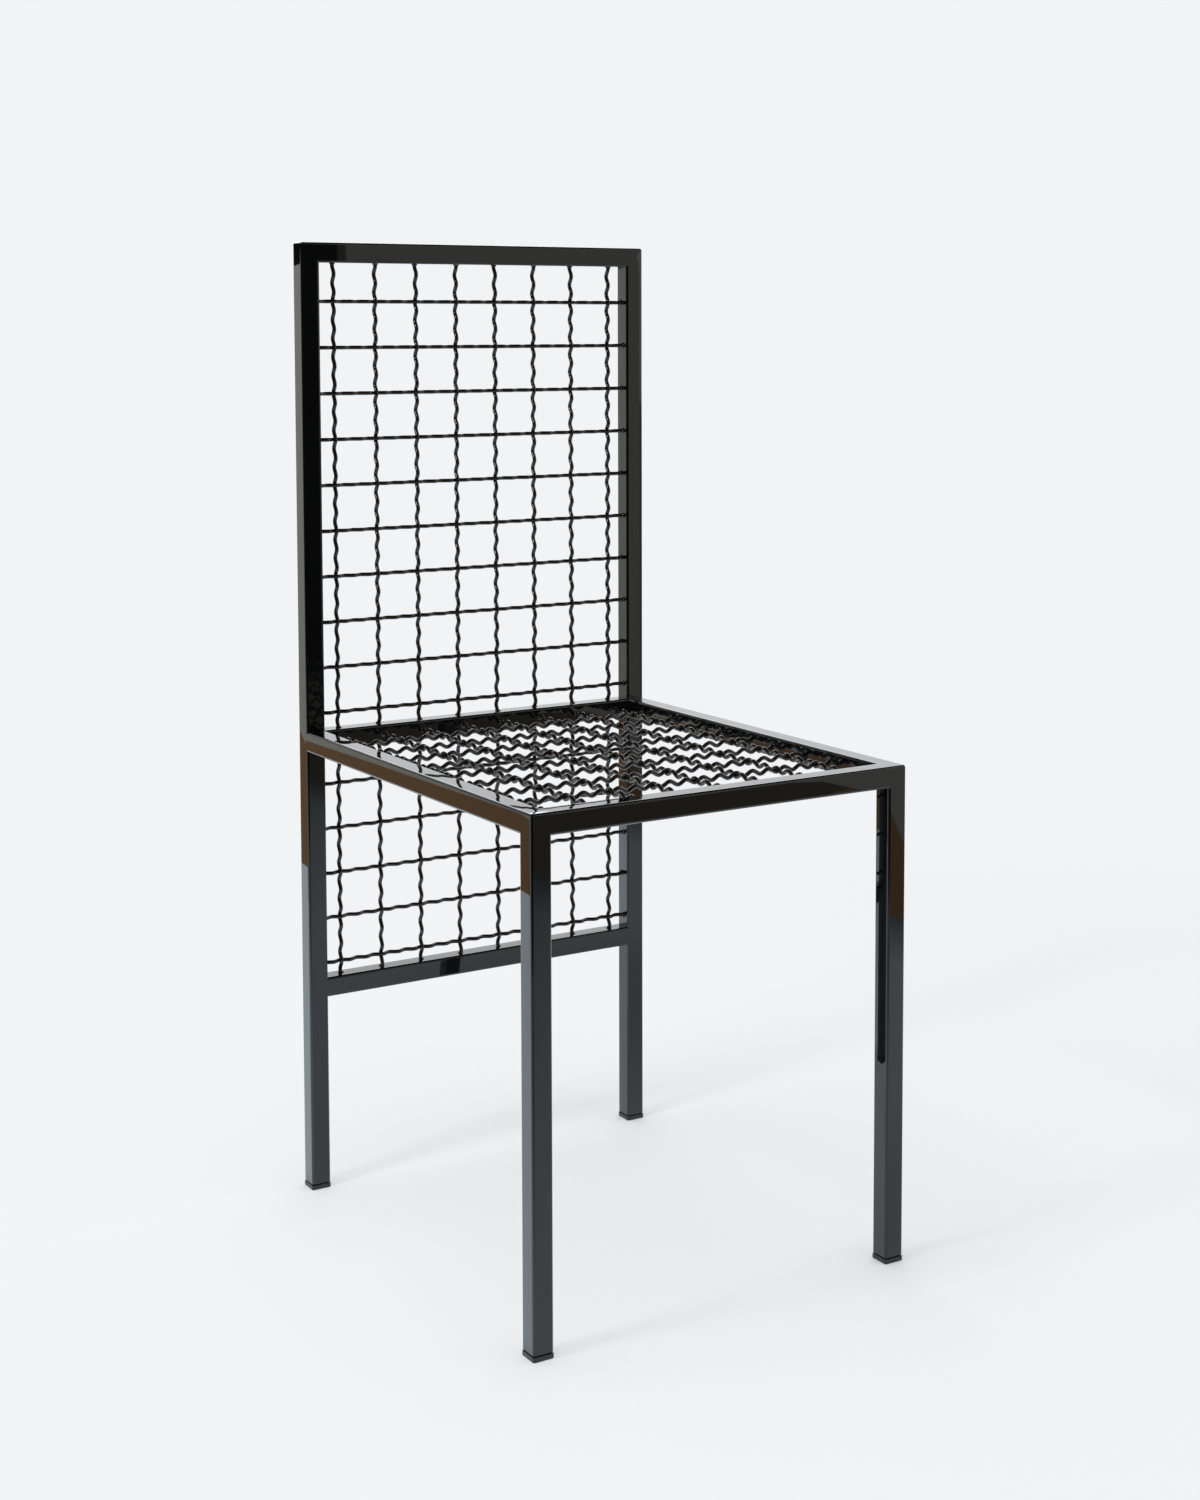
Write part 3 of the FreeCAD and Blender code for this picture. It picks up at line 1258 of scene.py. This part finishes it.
@dataclass(frozen=True)
class MirroredRoom:
    """Room beside and behind the paper, made of painted reflections that show only in the gloss.

    Its walls follow each other from the right edge of the paper round the back of
    the camera's place and along the left side. Their corners are so many metres to
    the right of the camera's axis and ahead of the camera.
    """

    camera: PhotoCamera
    wall_corners: tuple[tuple[float, float], ...] = (
        (1.75, 1.6),
        (2.4, 1.12),
        (2.43, 0.466),
        (2.43, 0.44),
        (2.3, -0.7),
        (-3.5, -0.7),
        (-3.5, 5.0),
    )
    panel_top: float = 2.2
    room_height: float = 3.6
    boards_left: LevelPatch = LevelPatch(-2.6, -1.43, 1.2, 5.5)
    boards_right: LevelPatch = LevelPatch(1.43, 2.3, 1.25, 4.0)
    dim_boards: LevelPatch = LevelPatch(1.43, 2.6, -0.6, 1.25)
    unlit_floor: LevelPatch = LevelPatch(-3.5, 1.43, -0.7, 0.72)
    unlit_ceiling: LevelPatch = LevelPatch(-3.5, 3.5, -0.7, 5.0)
    left_wall_foot: Place = (-1.29, 1.65, 0.0)
    left_wall_line: Place = (0.075, 0.95, 0.0)
    left_wall_near: float = 1.0
    left_wall_far: float = 3.0
    left_wall_top: float = 1.0

    def build(self) -> None:
        """Add the floors, walls and ceiling of the room."""
        # Painted reflections: glowing lit boards and panels, dim boards and a shaded panel, and
        # black unlit sheets where the room lies in shade
        boards = PaintedRoomReflection("varnished_boards", "#a4825f").material()
        unlit = PaintedRoomReflection("unlit_room", "#0c0b0a").material()
        dim = PaintedRoomReflection("dim_boards", "#6c6454").material()
        panel = PaintedRoomReflection("grey_panel", "#b9b8b4").material()
        shaded = PaintedRoomReflection("shaded_panel", "#6b6a68").material()
        wall = PaintedRoomReflection("grey_wall", "#ccccc1", "#e1e1e0").material()

        # The boards on the left run up to the low wall
        line = Vector(self.left_wall_line).normalized()
        foot = Vector(self.left_wall_foot)
        left = self.boards_left.shape(self.camera, MM)
        keep_inside(left, foot, Z_AXIS.cross(line))
        add_surroundings("boards_left", left, boards)
        start, end = foot - line * self.left_wall_near, foot + line * self.left_wall_far
        add_surroundings("wall_left", self.wall(start, end, self.left_wall_top), wall)
        add_surroundings("boards_right", self.boards_right.shape(self.camera, MM), boards)
        add_surroundings("dim_boards_right", self.dim_boards.shape(self.camera, MM), dim)

        walls = (
            ("panel_beside", panel, self.panel_top),
            ("panel_ahead", panel, self.panel_top),
            ("panel_edge", shaded, self.panel_top),
            ("unlit_wall", unlit, self.room_height),
            ("unlit_back", unlit, self.room_height),
            ("unlit_left", unlit, self.room_height),
        )
        corners = [self.camera.on_floor(*place) for place in self.wall_corners]
        for (name, tone, top), start, end in zip(walls, corners, corners[1:]):
            add_surroundings(name, self.wall(start, end, top), tone)
        add_surroundings("unlit_floor", self.unlit_floor.shape(self.camera, MM), unlit)
        ceiling = self.unlit_ceiling.shape(self.camera, self.room_height)
        add_surroundings("unlit_ceiling", ceiling, unlit)

    @staticmethod
    def wall(start: Vector, end: Vector, height: float) -> BMesh:
        """Make an upright wall on the floor.

        Args:
            start: Foot of one end.
            end: Foot of the other end.
            height: Height of the wall.

        Returns:
            Its mesh.
        """
        shape = bmesh.new()
        line = shape.edges.new([shape.verts.new(start), shape.verts.new(end)])
        raised = bmesh.ops.extrude_edge_only(shape, edges=[line])["geom"]
        top = [item for item in raised if isinstance(item, BMVert)]
        bmesh.ops.translate(shape, vec=Z_AXIS * height, verts=top)
        return shape


@dataclass(frozen=True)
class Studio:
    """Paper floor, pale backdrop, soft lamps and camera, and the room of painted reflections that
    gloss mirrors.
    """

    camera: PhotoCamera = PhotoCamera()
    paper: SeamlessPaper = SeamlessPaper()
    floor_size: float = 40.0
    floor_cells: int = 4
    ambient: float = 0.68
    lamps: tuple[Softbox, ...] = (
        Softbox(
            name="key_softbox",
            place=(-1.9, -0.2, 1.9),
            aim=(0, 0, 0.3),
            width=0.45,
            height=0.45,
            brightness=19.0,
        ),
        Softbox(
            name="top_softbox",
            place=(0.1, 0.2, 2.7),
            aim=(0, 0.1, 0.4),
            width=2.4,
            height=2.4,
            brightness=1.0,
            mirrored=False,
        ),
        Softbox(
            name="back_softbox",
            place=(1.5, 2.9, 1.75),
            aim=(0, 0, 0.45),
            width=2.2,
            height=0.9,
            brightness=1.6,
        ),
    )

    def build(self) -> None:
        """Add everything round the chair."""
        self.world()
        self.floor()
        MirroredRoom(self.camera).build()
        for lamp in self.lamps:
            lamp.build()
        self.camera.build()
        bpy.context.scene.view_settings.view_transform = "Standard"

    def world(self) -> None:
        """Pale backdrop for the eye, and even light from all sides for the chair."""
        world = bpy.data.worlds.new("pale_backdrop")
        bpy.context.scene.world = world
        tree = new_tree(world)
        in_view, mirrored = sight_lines(tree)
        seen = add_node(tree, "ShaderNodeMath", {0: in_view, 1: mirrored}, operation="MAXIMUM")
        light = add_node(
            tree, "ShaderNodeBackground", {"Color": (1, 1, 1, 1), "Strength": self.ambient}
        )
        backdrop = add_node(
            tree, "ShaderNodeBackground", {"Color": linear(self.paper.backdrop), "Strength": 1.0}
        )
        mixed = add_node(
            tree,
            "ShaderNodeMixShader",
            {0: seen.outputs[0], 1: light.outputs[0], 2: backdrop.outputs[0]},
        )
        add_node(tree, "ShaderNodeOutputWorld", {"Surface": mixed.outputs[0]})

    def floor(self) -> None:
        """Paper under the chair."""
        cells, half = self.floor_cells, self.floor_size / 2
        shape = bmesh.new()
        bmesh.ops.create_grid(shape, x_segments=cells, y_segments=cells, size=half)
        add_surroundings("paper_floor", shape, self.paper.material(), mirrored_only=False)


def numbered(name: str, count: int) -> tuple[str, ...]:
    """Names of the nodes of one family of wires."""
    return tuple(f"{name}_{number}" for number in range(1, count + 1))


def main() -> None:
    """Build the chair's pieces and the studio."""
    logging.basicConfig(level=logging.INFO, format="%(name)s %(message)s")
    frame_coat = GlossPowderCoat(
        name="gloss_powder_coat_tube",
        colour="#090a0a",
        pooled_colour="#0c0c0c",
        peel_width=3.2,
        peel_height=0.0007,
        wave_height=0.04,
        least_roughness=0.015,
        most_roughness=0.03,
        index=1.4,
        top_layer=1.0,
    ).material()
    wire_coat = GlossPowderCoat(
        name="gloss_powder_coat_wire",
        colour="#16120e",
        pooled_colour="#1d1813",
        peel_width=1.6,
        peel_height=0.002,
        wave_height=0.0,
        least_roughness=0.05,
        most_roughness=0.08,
        index=1.45,
        top_layer=0.4,
    ).material()
    plastic = MouldedPolyethylene().material()

    TubeFrame().build(frame_coat)
    for node in ("left_front_foot", "right_front_foot", "left_rear_foot", "right_rear_foot"):
        PushInFoot(node).build(plastic)
    panels = (
        WovenPanel(
            name="back",
            uprights=numbered("back_upright_wire", 8),
            rows=numbered("back_cross_wire", 10),
            row_count=10,
            along=Z_AXIS,
            normal=Y_AXIS,
        ),
        WovenPanel(
            name="seat",
            uprights=numbered("seat_long_wire", 8),
            rows=numbered("seat_cross_wire", 9),
            row_count=9,
            along=Y_AXIS,
            normal=Z_AXIS,
        ),
        WovenPanel(
            name="lower",
            uprights=numbered("lower_upright_wire", 8),
            rows=("lower_cross_wires",),
            row_count=5,
            along=Z_AXIS,
            normal=Y_AXIS,
        ),
    )
    for panel in panels:
        panel.build(wire_coat)
        log.info("%s panel woven", panel.name)
    Studio().build()


if __name__ == "__main__":
    main()
